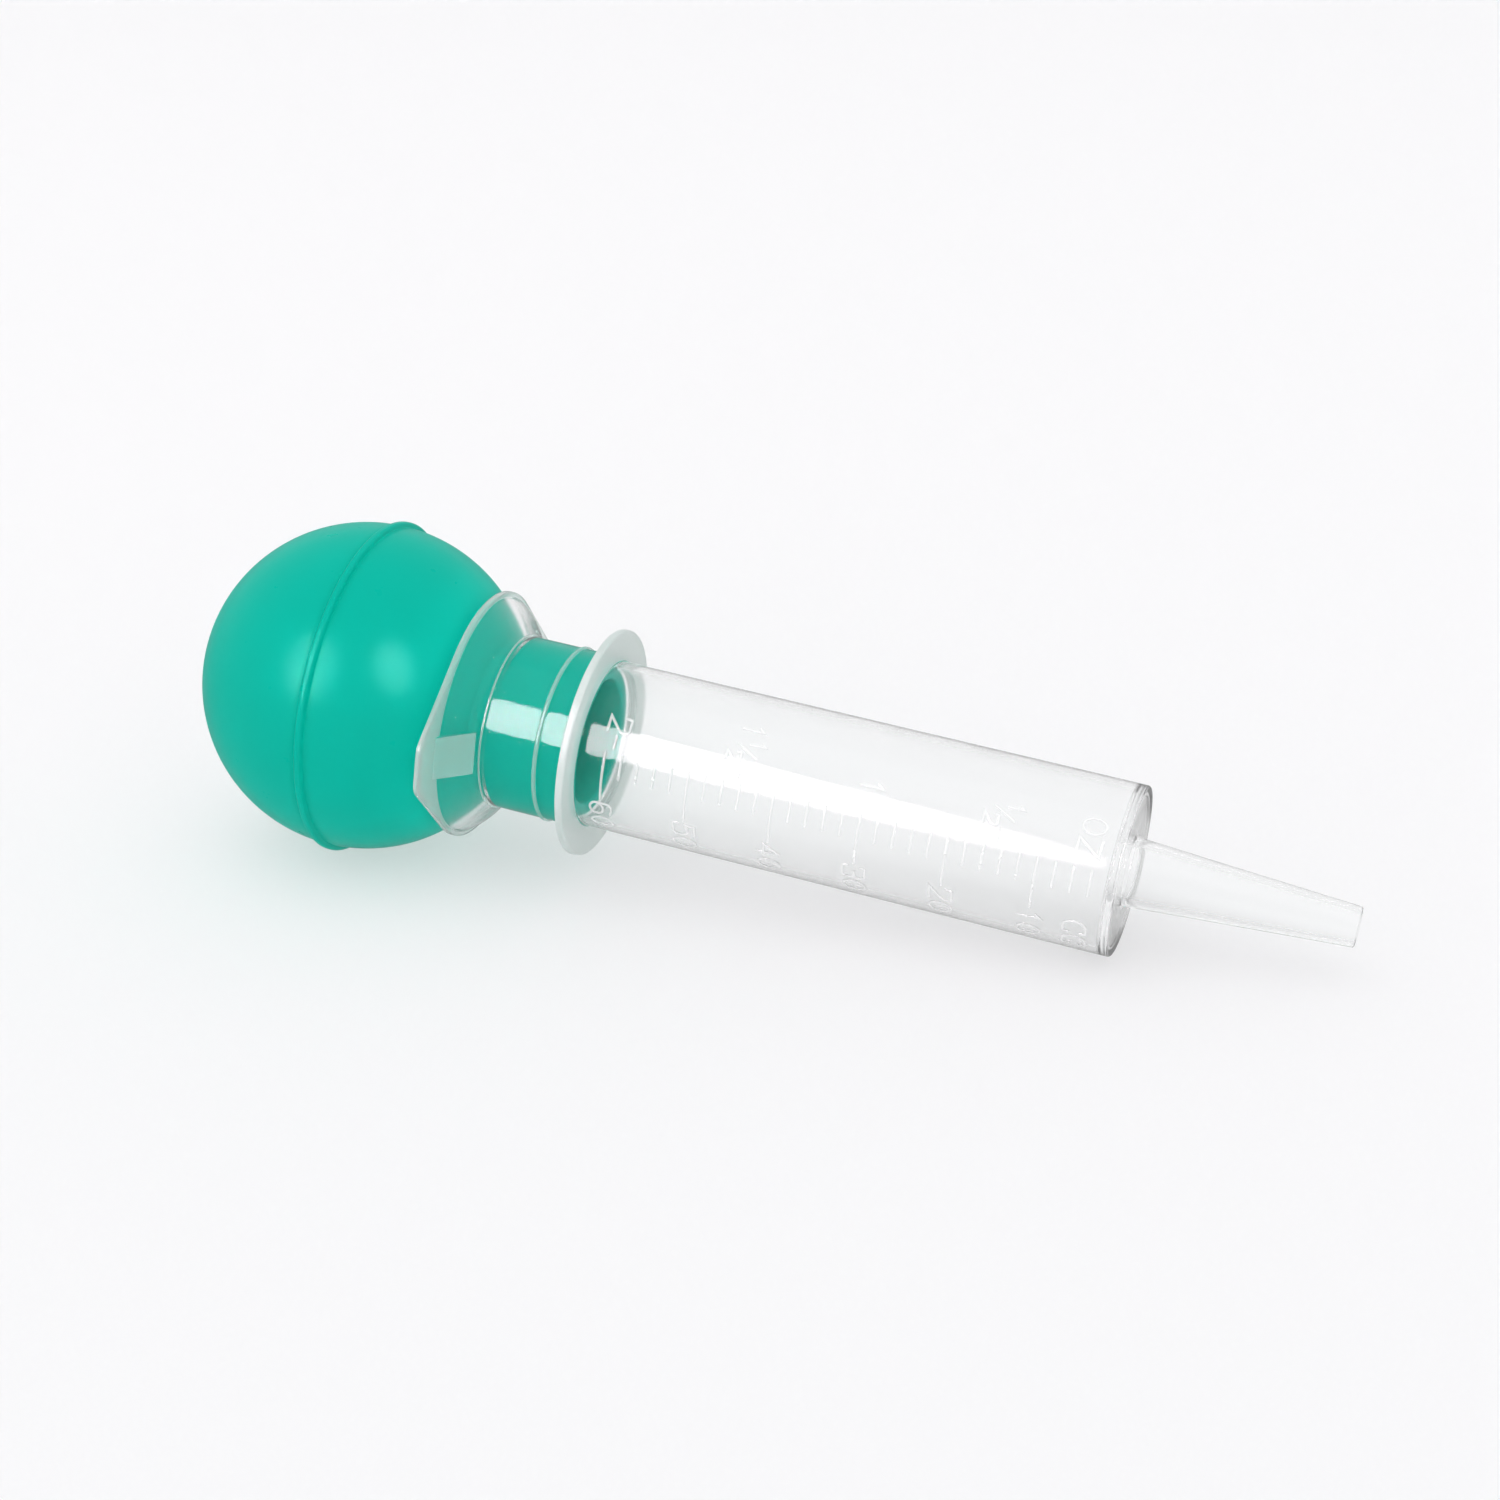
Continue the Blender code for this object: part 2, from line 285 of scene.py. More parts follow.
# --- Materials --------------------------------------------------------------------------------

def new_material(name):
    """A material with its nodes, links and main shader."""
    material = bpy.data.materials.new(name)
    material.use_nodes = True
    nodes = material.node_tree.nodes
    return material, nodes, material.node_tree.links, nodes["Principled BSDF"]


def noise(nodes, links, scale, detail, roughness):
    coordinates = nodes.new("ShaderNodeTexCoord")
    texture = nodes.new("ShaderNodeTexNoise")
    texture.inputs["Scale"].default_value = scale
    texture.inputs["Detail"].default_value = detail
    texture.inputs["Roughness"].default_value = roughness
    links.new(coordinates.outputs["Object"], texture.inputs["Vector"])
    return texture.outputs["Fac"]


def remap(nodes, links, source, low, high):
    node = nodes.new("ShaderNodeMapRange")
    node.inputs["From Min"].default_value = 0.3
    node.inputs["From Max"].default_value = 0.7
    node.inputs["To Min"].default_value = low
    node.inputs["To Max"].default_value = high
    links.new(source, node.inputs["Value"])
    return node.outputs["Result"]


def bump(nodes, links, height, distance, strength):
    node = nodes.new("ShaderNodeBump")
    node.inputs["Strength"].default_value = strength
    node.inputs["Distance"].default_value = distance
    links.new(height, node.inputs["Height"])
    return node.outputs["Normal"]


def along_axis(nodes, links, start, end):
    """0 to 1 between two stations of the syringe."""
    coordinates = nodes.new("ShaderNodeTexCoord")
    station = nodes.new("ShaderNodeVectorMath")
    station.operation = "DOT_PRODUCT"
    station.inputs[1].default_value = AXIS
    links.new(coordinates.outputs["Object"], station.inputs[0])
    share = nodes.new("ShaderNodeMapRange")
    share.interpolation_type = "SMOOTHSTEP"
    share.inputs["From Min"].default_value = CENTRE.dot(AXIS) + start
    share.inputs["From Max"].default_value = CENTRE.dot(AXIS) + end
    links.new(station.outputs["Value"], share.inputs["Value"])
    return share.outputs["Result"]


def mottle(nodes, links, low, high):
    """A colour that drifts between two others over the surface."""
    ramp = nodes.new("ShaderNodeValToRGB")
    ramp.color_ramp.elements[0].color = low
    ramp.color_ramp.elements[1].color = high
    links.new(noise(nodes, links, 42.0, 4.0, 0.55), ramp.inputs["Fac"])
    return ramp.outputs["Color"]


def rubber_green():
    """Satin green vinyl, painted paler from beside the bell up the neck, which presses flat against
    the collar: painted light that offsets the shade under the bell and inside the collar.
    """
    material, nodes, links, shader = new_material("bulb_rubber")
    mix = nodes.new("ShaderNodeMix")
    mix.data_type = "RGBA"
    # painted light: the green turns paler from beside the bell up the neck, offsetting the shade
    # there
    links.new(along_axis(nodes, links, PAINTED_LIGHT_START, PAINTED_LIGHT_END), mix.inputs["Factor"])
    links.new(mottle(nodes, links, BULB_DEEP, BULB_LIGHT), mix.inputs[6])
    links.new(mottle(nodes, links, NECK_PAINTED_LIGHT_DEEP, NECK_PAINTED_LIGHT_PALE), mix.inputs[7])
    links.new(mix.outputs[2], shader.inputs["Base Color"])
    links.new(remap(nodes, links, noise(nodes, links, 160.0, 5.0, 0.6), 0.27, 0.33),
              shader.inputs["Roughness"])
    grain = noise(nodes, links, 1900.0, 3.0, 0.6)
    links.new(bump(nodes, links, grain, 0.03 * MM, 0.16), shader.inputs["Normal"])
    shader.inputs["IOR"].default_value = 1.5
    shader.inputs["Specular IOR Level"].default_value = 0.065
    return material


def polypropylene(name, colour, grade):
    """Natural polypropylene: its skin bends light, and scatters what it doesn't let through."""
    clarity, rough_low, rough_high = grade
    material, nodes, links, shader = new_material(name)
    shader.inputs["Base Color"].default_value = colour
    shader.inputs["Transmission Weight"].default_value = clarity
    shader.inputs["IOR"].default_value = PLASTIC_IOR
    links.new(remap(nodes, links, noise(nodes, links, 90.0, 4.0, 0.55), rough_low, rough_high),
              shader.inputs["Roughness"])
    flow = noise(nodes, links, 200.0, 2.0, 0.5)
    links.new(bump(nodes, links, flow, 0.05 * MM, 0.08), shader.inputs["Normal"])
    return material


def mirrored_share(nodes, links):
    """1 for what a glossy surface mirrors, 0 for anything seen directly or through plastic."""
    rays = nodes.new("ShaderNodeLightPath")
    mirrored = nodes.new("ShaderNodeMath")
    mirrored.operation = "MULTIPLY"
    links.new(rays.outputs["Is Glossy Ray"], mirrored.inputs[0])
    links.new(rays.outputs["Is Reflection Ray"], mirrored.inputs[1])
    return mirrored.outputs["Value"]


def paper_floor():
    """A pale light table: its own glow keeps shadows soft, and glossy surfaces mirror it dimly."""
    material, nodes, links, shader = new_material("pale_floor")
    shader.inputs["Base Color"].default_value = FLOOR_COLOUR
    shader.inputs["Roughness"].default_value = 0.85
    shader.inputs["Specular IOR Level"].default_value = 0.2
    shader.inputs["Emission Color"].default_value = FLOOR_GLOW_COLOUR
    shader.inputs["Emission Strength"].default_value = FLOOR_GLOW
    dim = nodes.new("ShaderNodeEmission")
    dim.inputs["Strength"].default_value = FLOOR_SHINE
    mix = nodes.new("ShaderNodeMixShader")
    links.new(mirrored_share(nodes, links), mix.inputs["Fac"])
    links.new(shader.outputs["BSDF"], mix.inputs[1])
    links.new(dim.outputs["Emission"], mix.inputs[2])
    links.new(mix.outputs["Shader"], nodes["Material Output"].inputs["Surface"])
    material.cycles.emission_sampling = "NONE"
    return material


# --- Bulb -------------------------------------------------------------------------------------

def bulb_outline():
    """Outside from the back pole to the neck, then inside back to the pole."""
    low = RIB_STATION - RIB_GROOVE
    high = RIB_STATION + RIB_GROOVE
    rib = [
        (BULB_R - GROOVE_DEPTH, low + 0.35 * MM, 0.2 * MM),
        (RIB_R - 0.3 * MM, RIB_STATION - 0.62 * MM, 0.2 * MM),
        (RIB_R, RIB_STATION - 0.36 * MM, 0.25 * MM),
        (RIB_R, RIB_STATION + 0.36 * MM, 0.25 * MM),
        (RIB_R - 0.3 * MM, RIB_STATION + 0.62 * MM, 0.2 * MM),
        (BULB_R - GROOVE_DEPTH, high - 0.35 * MM, 0.2 * MM),
    ]
    fillet_r = NECK_R + NECK_FILLET
    fillet_station = math.sqrt((BULB_R + NECK_FILLET) ** 2 - fillet_r ** 2)
    meet = math.atan2(fillet_station, fillet_r)
    blend = []
    for i in range(1, 9):
        angle = math.pi + meet * (1.0 - i / 8.0)
        blend.append((fillet_r + NECK_FILLET * math.cos(angle),
                      fillet_station + NECK_FILLET * math.sin(angle), 0.0))
    neck = [
        (NECK_R, NECK_END, 0.6 * MM),
        (NECK_BORE_R, NECK_END, 0.5 * MM),
    ]
    mouth = math.sqrt(BULB_INNER_R ** 2 - NECK_BORE_R ** 2)
    corners = sphere_corners(BULB_R, -BULB_R, low, 44)
    corners += rib
    corners += sphere_corners(BULB_R, high, BULB_R * math.sin(meet), 30)
    corners += blend
    corners += neck
    corners += sphere_corners(BULB_INNER_R, mouth, -BULB_INNER_R, 40)
    return rounded(corners, closed=False)


def build_bulb(material):
    """Two halves that meet on the XZ plane, one for each side's wall."""
    bm = turn(bulb_outline(), BULB_SEGMENTS, closed=False)
    bm.normal_update()
    normal_at = {}
    for vertex in bm.verts:
        normal_at[tuple(round(value, 7) for value in vertex.co)] = vertex.normal.copy()
    for side, name, body in ((-1, "bulb_thumb_side", "thumb_wall"),
                             (1, "bulb_finger_side", "finger_wall")):
        half = bm.copy()
        away = [face for face in half.faces if face.calc_center_median().y * side < 0.0]
        bmesh.ops.delete(half, geom=away, context="FACES")
        rim = [edge for edge in half.edges if edge.is_boundary]
        closing = bmesh.ops.holes_fill(half, edges=rim, sides=0)["faces"]
        bmesh.ops.recalc_face_normals(half, faces=half.faces)
        half.faces.index_update()
        cut_faces = {face.index for face in closing}
        normals = []
        for face in half.faces:
            for loop in face.loops:
                if face.index in cut_faces:
                    normals.append(face.normal.copy())
                else:
                    key = tuple(round(value, 7) for value in loop.vert.co)
                    normals.append(normal_at[key])
        turned = TO_FRAME.to_3x3()
        obj = to_object(name, half)
        obj.data.shade_smooth()
        obj.data.normals_split_custom_set([turned @ normal for normal in normals])
        obj.data.materials.append(material)
        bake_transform(obj)
    bm.free()
    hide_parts("bulb_body", "bulb_thumb_wall")
    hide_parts("bulb_finger_wall")


# --- Barrel -----------------------------------------------------------------------------------

def barrel_outline():
    """Down the inside from the rim to the nozzle's tip, and back up the outside."""
    corners = bowed((BELL_INNER_R, RIM_STATION), (COLLAR_BORE_R, COLLAR_START + 0.6 * MM),
                    -BELL_BULGE, 10)
    corners[0] = (BELL_INNER_R, RIM_STATION, 0.3 * MM)
    corners += [
        (COLLAR_BORE_R, COLLAR_BORE_END, 0.3 * MM),
        (TUBE_BORE_R, COLLAR_BORE_END + 0.8 * MM, 0.3 * MM),
        (TUBE_BORE_R, END_INNER, 0.9 * MM),
        (BORE_ROOT_R, END_INNER, 0.5 * MM),
        (BORE_STEP_R, NOZZLE_STEP, 0.0),
        (BORE_TIP_R, NOZZLE_TIP, 0.15 * MM),
        (NOZZLE_TIP_R, NOZZLE_TIP, 0.3 * MM),
        (NOZZLE_STEP_R, NOZZLE_STEP, 0.0),
        (NOZZLE_ROOT_R, TUBE_END, 0.7 * MM),
        (TUBE_R, TUBE_END, 0.45 * MM),
        (TUBE_R, DISC_FRONT, 0.3 * MM),
        (DISC_R, DISC_FRONT, 0.4 * MM),
        (DISC_R, DISC_BACK, 0.4 * MM),
        (COLLAR_R, DISC_BACK, 0.3 * MM),
        (COLLAR_R, RIDGE_STATION + 0.45 * MM, 0.1 * MM),
        (COLLAR_R + RIDGE_HEIGHT, RIDGE_STATION + 0.2 * MM, 0.12 * MM),
        (COLLAR_R + RIDGE_HEIGHT, RIDGE_STATION - 0.2 * MM, 0.12 * MM),
        (COLLAR_R, RIDGE_STATION - 0.45 * MM, 0.1 * MM),
        (COLLAR_R, COLLAR_START + 0.5 * MM, 0.1 * MM),
        (COLLAR_R + 0.3 * MM, COLLAR_START + 0.25 * MM, 0.1 * MM),
    ]
    bell = bowed((COLLAR_R + 0.3 * MM, COLLAR_START - 0.1 * MM), (BELL_MEETS_PLATE_R, PLATE_TOP),
                 BELL_BULGE, 10)
    bell[-1] = (BELL_MEETS_PLATE_R, PLATE_TOP, 0.2 * MM)
    corners += bell
    corners += [
        (BELL_R, PLATE_TOP, 0.3 * MM),
        (BELL_R, RIM_STATION, 0.3 * MM),
    ]
    return rounded(corners, closed=True)


def wing_reach(angle):
    """Radius of the rim's outline: a circle with two wings, tangent edges and cut ends."""
    from_wing = abs((angle - WING_TURN + math.pi) % math.pi - math.pi / 2.0)
    corner = math.atan2(WING_HALF_WIDTH, WING_END)
    tangent = corner + math.acos(BELL_R / math.hypot(WING_HALF_WIDTH, WING_END))
    if from_wing >= tangent:
        return BELL_R
    to_end = WING_END / math.cos(from_wing)
    to_edge = BELL_R / math.cos(tangent - from_wing)
    soft = (to_end / WING_END) ** -WING_SOFTNESS + (to_edge / WING_END) ** -WING_SOFTNESS
    return max(BELL_R, WING_END * soft ** (-1.0 / WING_SOFTNESS))


def with_wings(radius, station, angle):
    """Pushes the rim plate's outer points out to the wings' outline."""
    if station > PLATE_TOP + 1e-6 or radius < BELL_MEETS_PLATE_R + 0.25 * MM:
        return radius
    share = (radius - BELL_MEETS_PLATE_R) / (BELL_R - BELL_MEETS_PLATE_R)
    return radius + (wing_reach(angle) - BELL_R) * min(1.0, max(0.0, share))


def join_solids(solids):
    """One bmesh from several closed ones, all facing outwards."""
    whole = bmesh.new()
    for solid in solids:
        if solid.calc_volume(signed=True) < 0.0:
            bmesh.ops.reverse_faces(solid, faces=solid.faces)
        mesh = bpy.data.meshes.new("part")
        solid.to_mesh(mesh)
        solid.free()
        whole.from_mesh(mesh)
        bpy.data.meshes.remove(mesh)
    return whole


def pad_solids():
    """The ramp that stiffens each wing against the bell."""
    solids = []
    for side in (-1, 1):
        outline = [(PAD_OUTER_R, PLATE_TOP - PAD_SUNK), (PAD_OUTER_R, PLATE_TOP + 0.05 * MM),
                   (PAD_OUTER_R - 0.5 * MM, PLATE_TOP + 0.35 * MM), (17.3 * MM, 29.0 * MM),
                   (16.8 * MM, 28.7 * MM), (22.0 * MM, PLATE_TOP - PAD_SUNK)]
        bm = bmesh.new()
        face = bm.faces.new([bm.verts.new((-PAD_HALF_WIDTH, side * y, z)) for y, z in outline])
        grown = bmesh.ops.extrude_face_region(bm, geom=[face])
        moved = [item for item in grown["geom"] if isinstance(item, bmesh.types.BMVert)]
        bmesh.ops.translate(bm, verts=moved, vec=(2.0 * PAD_HALF_WIDTH, 0.0, 0.0))
        bmesh.ops.recalc_face_normals(bm, faces=bm.faces)
        bm.transform(Matrix.Rotation(WING_TURN, 4, "Z"))
        solids.append(bm)
    return solids


def on_tube(across, station, height):
    """A point on the tube: across is the arc from the near side, positive upwards."""
    angle = across / TUBE_R
    radius = TUBE_R + height
    return (-radius * math.sin(angle), -radius * math.cos(angle), station)


def stroke_solid(path, closed=False):
    """A raised line with a rounded top, along a path of (across, station) points on the tube."""
    half = MARK_WIDTH / 2.0
    section = [(-half, -MARK_SINK), (-half, 0.4 * MARK_HEIGHT), (-0.7 * half, 0.85 * MARK_HEIGHT),
               (0.0, MARK_HEIGHT),
               (0.7 * half, 0.85 * MARK_HEIGHT), (half, 0.4 * MARK_HEIGHT), (half, -MARK_SINK)]
    points = [Vector(point) for point in path]
    count = len(points)
    stations = []
    for i, point in enumerate(points):
        before = points[i] - points[i - 1] if closed or i > 0 else points[1] - points[0]
        after = points[(i + 1) % count] - point if closed or i < count - 1 else before
        before, after = before.normalized(), after.normalized()
        along = (before + after).normalized()
        side = Vector((-along.y, along.x)) / max(0.35, along.dot(before))
        stations.append((point, side, 1.0))
    if not closed:
        first = (points[0] - points[1]).normalized()
        last = (points[-1] - points[-2]).normalized()
        head = [(points[0] + first * half * reach, stations[0][1], wide)
                for reach, wide in ((0.95, 0.35), (0.6, 0.8))]
        tail = [(points[-1] + last * half * reach, stations[-1][1], wide)
                for reach, wide in ((0.6, 0.8), (0.95, 0.35))]
        stations = head + stations + tail
    bm = bmesh.new()
    rings = []
    for point, side, wide in stations:
        ring = []
        for offset, height in section:
            spot = point + side * offset * wide
            ring.append(bm.verts.new(on_tube(spot.x, spot.y, height)))
        rings.append(ring)
    pairs = list(zip(rings, rings[1:]))
    if closed:
        pairs.append((rings[-1], rings[0]))
    else:
        bm.faces.new(rings[0])
        bm.faces.new(rings[-1][::-1])
    for first_ring, second_ring in pairs:
        for i in range(len(section)):
            k = (i + 1) % len(section)
            bm.faces.new((first_ring[i], first_ring[k], second_ring[k], second_ring[i]))
    bmesh.ops.recalc_face_normals(bm, faces=bm.faces)
    return bm


def oval(half_width, half_height, centre_height):
    """Points (right, up) of an upright oval."""
    points = []
    for i in range(24):
        angle = 2.0 * math.pi * i / 24
        points.append((half_width * math.cos(angle), centre_height + half_height * math.sin(angle)))
    return points


def glyph_strokes(character):
    """Strokes of a character in a box two units wide and two high: (points, closed)."""
    open_strokes = {
        "1": [[(-0.5, 0.55, 0.0), (0.05, 1.0, 0.0), (0.05, -1.0, 0.0)]],
        "2": [[(-1.0, 0.45, 0.0), (-1.0, 1.0, 0.8), (1.0, 1.0, 0.8), (1.0, 0.25, 0.5),
               (-1.0, -1.0, 0.0), (1.0, -1.0, 0.0)]],
        "3": [[(-1.0, 0.6, 0.0), (-1.0, 1.0, 0.6), (1.0, 1.0, 0.7), (1.0, 0.06, 0.6),
               (-0.15, 0.06, 0.0)],
              [(0.0, 0.04, 0.0), (1.0, 0.04, 0.7), (1.0, -1.0, 0.8), (-1.0, -1.0, 0.7),
               (-1.0, -0.55, 0.0)]],
        "4": [[(0.35, 1.0, 0.0), (-1.0, -0.4, 0.0), (1.0, -0.4, 0.0)],
              [(0.4, 0.35, 0.0), (0.4, -1.0, 0.0)]],
        "5": [[(0.9, 1.0, 0.0), (-0.75, 1.0, 0.0), (-0.9, 0.15, 0.0), (-0.2, 0.32, 0.5),
               (1.0, 0.32, 0.7), (1.0, -1.0, 0.8), (-1.0, -1.0, 0.8), (-1.0, -0.55, 0.0)]],
        "6": [[(0.75, 0.85, 0.0), (0.2, 1.0, 0.4), (-1.0, 1.0, 1.0), (-1.0, -0.3, 0.0)]],
        "C": [[(1.0, 0.5, 0.0), (1.0, 1.0, 0.8), (-1.0, 1.0, 0.9), (-1.0, -1.0, 0.9),
               (1.0, -1.0, 0.8), (1.0, -0.5, 0.0)]],
        "Z": [[(-1.0, 1.0, 0.0), (1.0, 1.0, 0.0), (-1.0, -1.0, 0.0), (1.0, -1.0, 0.0)]],
        "/": [[(-0.8, -1.0, 0.0), (0.8, 1.0, 0.0)]],
    }
    ovals = {"0": (1.0, 1.0, 0.0), "O": (1.0, 1.0, 0.0), "6": (1.0, 0.62, -0.38)}
    strokes = []
    if character in ovals:
        strokes.append((oval(*ovals[character]), True))
    for corners in open_strokes.get(character, []):
        strokes.append((rounded(corners, closed=False, longest=0.6), False))
    return strokes


def glyph_solids(character, across, station, width, height):
    """Solids of one raised character that reads with the nozzle upwards, centred on a spot."""
    half_width = (width - MARK_WIDTH) / 2.0
    half_height = (height - MARK_WIDTH) / 2.0
    solids = []
    for points, closed in glyph_strokes(character):
        path = [(across - right * half_width, station + up * half_height) for right, up in points]
        solids.append(stroke_solid(path, closed))
    return solids


def tick_solid(station, top, bottom):
    """A raised line round the tube from one arc position to another."""
    steps = max(4, int((top - bottom) / (0.5 * MM)))
    path = [(bottom + (top - bottom) * i / steps, station) for i in range(steps + 1)]
    return stroke_solid(path)


def scale_layers():
    """The moulded scale, in two layers so that no two solids of a layer touch each other."""
    ticks = []
    glyphs = []
    for cc in range(4, LAST_CC + 1, 2):
        major = cc % 10 == 0
        station = CC_ZERO - cc * CC_STEP
        ticks.append(tick_solid(station, CC_TICK_TOP, CC_MAJOR_END if major else CC_MINOR_END))
        if major:
            for k, digit in enumerate(str(cc)):
                across = CC_NUMBER - (k - 0.5) * GLYPH_PITCH
                glyphs.append(glyph_solids(digit, across, station, GLYPH_WIDTH, GLYPH_HEIGHT))
    for half_ounces in range(1, 5):
        station = CC_ZERO - half_ounces * OUNCE / 2.0 * CC_STEP
        ticks.append(tick_solid(station, OZ_TICK_TOP, OZ_TICK_END))
        whole, half = divmod(half_ounces, 2)
        if half:
            small_width, small_height = 0.7 * GLYPH_WIDTH, 0.68 * GLYPH_HEIGHT
            glyphs.append(glyph_solids("1", OZ_NUMBER + 2.2 * MM, station + 1.9 * MM,
                                       small_width, small_height))
            glyphs.append(glyph_solids("2", OZ_NUMBER - 0.5 * MM, station - 1.9 * MM,
                                       small_width, small_height))
            slash = glyph_solids("/", OZ_NUMBER + 0.9 * MM, station + 0.2 * MM,
                                 0.9 * GLYPH_WIDTH, 0.9 * GLYPH_HEIGHT)
            glyphs.append([None] + slash)
            if whole:
                glyphs.append(glyph_solids("1", OZ_NUMBER + 5.0 * MM, station,
                                           GLYPH_WIDTH, GLYPH_HEIGHT))
        else:
            glyphs.append(glyph_solids(str(whole), OZ_NUMBER, station, GLYPH_WIDTH, GLYPH_HEIGHT))
    for k, letter in enumerate("OZ"):
        glyphs.append(glyph_solids(letter, OZ_UNIT - k * GLYPH_PITCH, UNIT_STATION,
                                   1.06 * GLYPH_WIDTH, GLYPH_HEIGHT))
    for k, letter in enumerate("CC"):
        glyphs.append(glyph_solids(letter, CC_NUMBER - (k - 0.5) * GLYPH_PITCH, UNIT_STATION,
                                   GLYPH_WIDTH, GLYPH_HEIGHT))
    first = ticks + [strokes[0] for strokes in glyphs if strokes[0]]
    second = [stroke for strokes in glyphs for stroke in strokes[1:]]
    return first, second


def add_solids(obj, solids):
    """Joins raised details to the moulding, so that it stays one closed skin."""
    tool = to_object("tool", join_solids(solids))
    modifier = obj.modifiers.new("tool", "BOOLEAN")
    modifier.operation = "UNION"
    modifier.solver = "MANIFOLD"
    modifier.object = tool
    graph = bpy.context.evaluated_depsgraph_get()
    mesh = bpy.data.meshes.new_from_object(obj.evaluated_get(graph))
    obj.modifiers.remove(modifier)
    old = obj.data
    obj.data = mesh
    bpy.data.meshes.remove(old)
    bpy.data.objects.remove(tool)


def is_milky(spot):
    """Whether a point of the moulding is on its thick, cloudy parts: wings squared to X and Y."""
    radius = math.hypot(spot.x, spot.y)
    on_rim = spot.z < PLATE_TOP + 0.01 * MM and radius > BELL_MEETS_PLATE_R - 0.5 * MM
    up_bell = (spot.z - PLATE_TOP) / (COLLAR_START - PLATE_TOP)
    bell_r = BELL_MEETS_PLATE_R + (COLLAR_R - BELL_MEETS_PLATE_R) * up_bell
    on_pad = 0.0 < up_bell < 1.0 and abs(spot.x) < PAD_HALF_WIDTH and radius > bell_r + 0.8 * MM
    on_ring = abs(spot.z - COLLAR_START - 0.07 * MM) < 0.2 * MM and radius > COLLAR_R + 0.02 * MM
    on_ridge = abs(spot.z - RIDGE_STATION) < 0.4 * MM and radius > COLLAR_R + 0.02 * MM
    return on_rim or on_pad or on_ring or on_ridge


def is_disc(spot):
    """Whether a point of the moulding is on the guard disc."""
    between = DISC_BACK - 0.01 * MM < spot.z < DISC_FRONT + 0.01 * MM
    return between and math.hypot(spot.x, spot.y) > TUBE_R


def is_mark(spot):
    """Whether a point of the moulding is on the raised scale."""
    beyond_disc = DISC_FRONT + 1.0 * MM < spot.z < TUBE_END
    return beyond_disc and math.hypot(spot.x, spot.y) > TUBE_R + 0.02 * MM


def build_barrel(clear, milky, cloudy, frosted):
    """The clear moulding: milky on rim, pads and ridges, cloudy on the disc, frosted on the marks."""
    bm = turn(barrel_outline(), BARREL_SEGMENTS, closed=True, reshape=with_wings)
    obj = to_object("barrel_moulding", bm)
    add_solids(obj, pad_solids())
    for layer in scale_layers():
        add_solids(obj, layer)
    obj.data.materials.clear()
    for material in (clear, milky, cloudy, frosted):
        obj.data.materials.append(material)
    to_local = Matrix.Rotation(-WING_TURN, 4, "Z") @ TO_FRAME.inverted()
    for face in obj.data.polygons:
        spot = to_local @ face.center
        for index, test in enumerate((is_milky, is_disc, is_mark), start=1):
            if test(spot):
                face.material_index = index
    obj.data.shade_smooth()
    obj.data.set_sharp_from_angle(angle=math.radians(32.0))
    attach(obj, "barrel")
    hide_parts("barrel")


# --- Studio -----------------------------------------------------------------------------------

def build_camera():
    """The camera, set back from its target and rolled a little."""
    camera = bpy.data.objects.new("camera", bpy.data.cameras.new("camera"))
    bpy.context.collection.objects.link(camera)
    camera.data.sensor_width = 36.0
    camera.data.lens = VIEW_LENS
    back = Vector((math.sin(VIEW_AZIMUTH) * math.cos(VIEW_ELEVATION),
                   -math.cos(VIEW_AZIMUTH) * math.cos(VIEW_ELEVATION),
                   math.sin(VIEW_ELEVATION)))
    camera.location = VIEW_TARGET + back * VIEW_DISTANCE
    aim = (-back).to_track_quat("-Z", "Y").to_matrix()
    camera.rotation_euler = (aim @ Matrix.Rotation(-VIEW_ROLL, 3, "Z")).to_euler()
    camera.data.clip_start = 0.01
    camera.data.clip_end = 50.0
    bpy.context.scene.camera = camera


def sheet(name, width, height, corners):
    """A flat shape round its origin, facing along +Z: four corners for a square, more for an oval."""
    bm = bmesh.new()
    reach = 1.0 / math.cos(math.pi / corners)
    outline = []
    for i in range(corners):
        angle = 2.0 * math.pi * (i + 0.5) / corners
        outline.append(bm.verts.new((reach * math.cos(angle) * width / 2.0,
                                     reach * math.sin(angle) * height / 2.0, 0.0)))
    bm.faces.new(outline)
    mesh = bpy.data.meshes.new(name)
    bm.to_mesh(mesh)
    bm.free()
    obj = bpy.data.objects.new(name, mesh)
    bpy.context.collection.objects.link(obj)
    return obj


def face_bulb(obj, direction, distance):
    """Puts a lamp or panel some way off in a direction, turned towards the bulb."""
    way = Vector(direction).normalized()
    obj.location = CENTRE + way * distance
    obj.rotation_euler = way.to_track_quat("Z", "Y").to_euler()


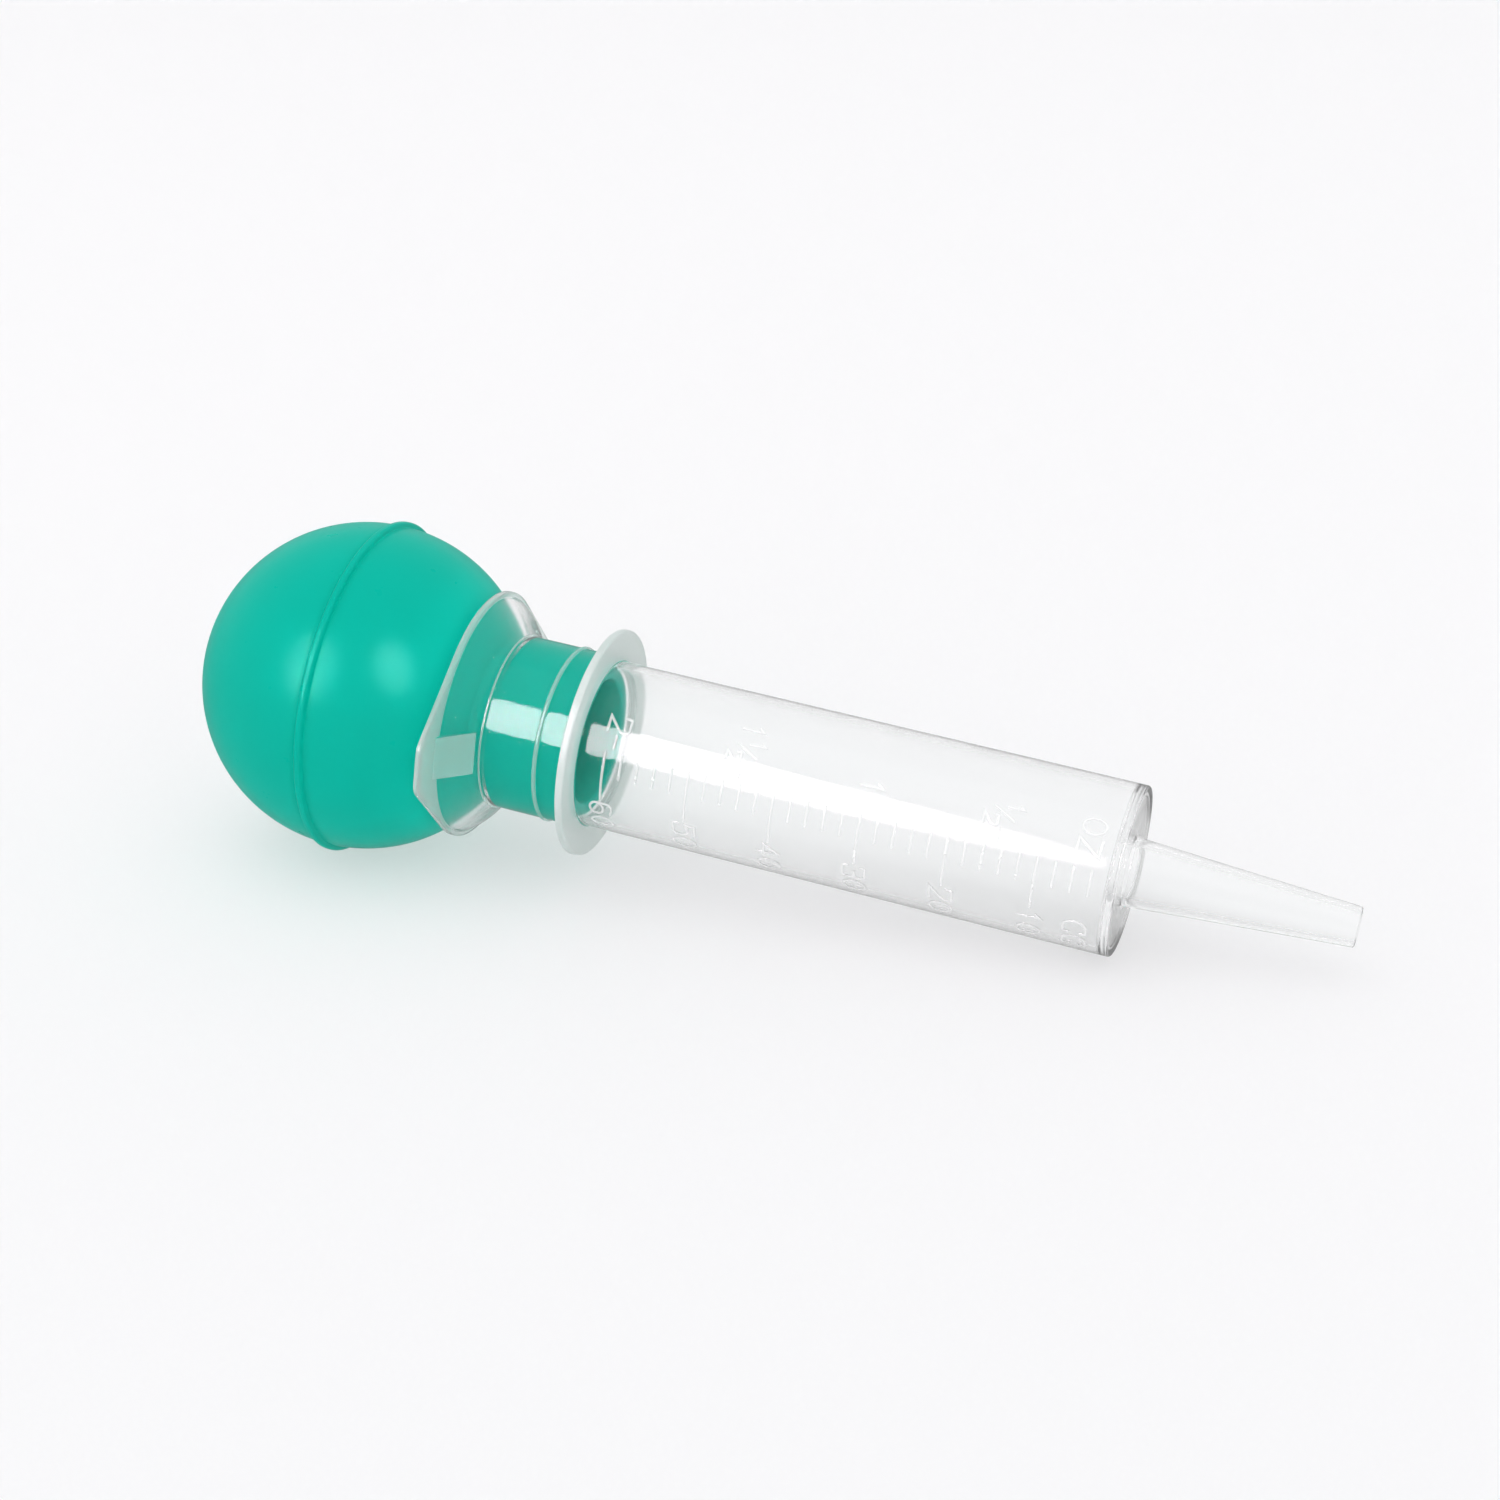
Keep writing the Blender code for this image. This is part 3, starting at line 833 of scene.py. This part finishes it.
def shine_panel(name, direction, width, height, radiance):
    """A bright panel that is only seen mirrored, as a softbox shows on glossy plastic."""
    panel = sheet(name, width, height, PANEL_CORNERS)
    face_bulb(panel, direction, PANEL_DISTANCE)
    material = bpy.data.materials.new(name)
    material.use_nodes = True
    nodes = material.node_tree.nodes
    nodes.remove(nodes["Principled BSDF"])
    glow = nodes.new("ShaderNodeEmission")
    glow.inputs["Color"].default_value = PANEL_COLOUR
    glow.inputs["Strength"].default_value = radiance
    material.node_tree.links.new(glow.outputs["Emission"],
                                 nodes["Material Output"].inputs["Surface"])
    material.cycles.emission_sampling = "NONE"
    panel.data.materials.append(material)
    panel.visible_camera = False
    panel.visible_diffuse = False
    panel.visible_transmission = False
    panel.visible_shadow = False


def build_studio():
    """A light table under a pale room, one soft lamp overhead and two panels for highlights."""
    floor = sheet("floor", FLOOR_SIZE, FLOOR_SIZE, 4)
    floor.data.materials.append(paper_floor())
    scene = bpy.context.scene
    world = bpy.data.worlds.new("studio")
    world.use_nodes = True
    nodes, links = world.node_tree.nodes, world.node_tree.links
    background = nodes["Background"]
    background.inputs["Color"].default_value = ROOM_COLOUR
    strength = nodes.new("ShaderNodeMapRange")
    strength.inputs["To Min"].default_value = WORLD_STRENGTH
    strength.inputs["To Max"].default_value = WORLD_STRENGTH * WORLD_SHINE
    links.new(mirrored_share(nodes, links), strength.inputs["Value"])
    links.new(strength.outputs["Result"], background.inputs["Strength"])
    scene.world = world
    scene.view_settings.view_transform = "Standard"
    scene.cycles.max_bounces = 24
    scene.cycles.transmission_bounces = 24
    scene.cycles.glossy_bounces = 12
    lamp = bpy.data.lights.new("overhead", "AREA")
    lamp.size = OVERHEAD_SIZE
    lamp.energy = OVERHEAD_POWER
    overhead = bpy.data.objects.new("overhead", lamp)
    scene.collection.objects.link(overhead)
    face_bulb(overhead, OVERHEAD_WAY, OVERHEAD_DISTANCE)
    overhead.visible_glossy = False
    shine_panel("left_panel", *LEFT_PANEL)
    shine_panel("right_panel", *RIGHT_PANEL)


build_camera()
build_bulb(rubber_green())
build_barrel(polypropylene("clear_polypropylene", PLASTIC, CLEAR),
             # the milky and cloudy parts carry painted green light from the bulb in their tint
             polypropylene("milky_polypropylene", PLASTIC_PAINTED_GREEN_LIGHT, MILKY),
             polypropylene("cloudy_polypropylene", PLASTIC_PAINTED_GREEN_LIGHT, CLOUDY),
             polypropylene("frosted_polypropylene", PLASTIC, FROSTED))
build_studio()
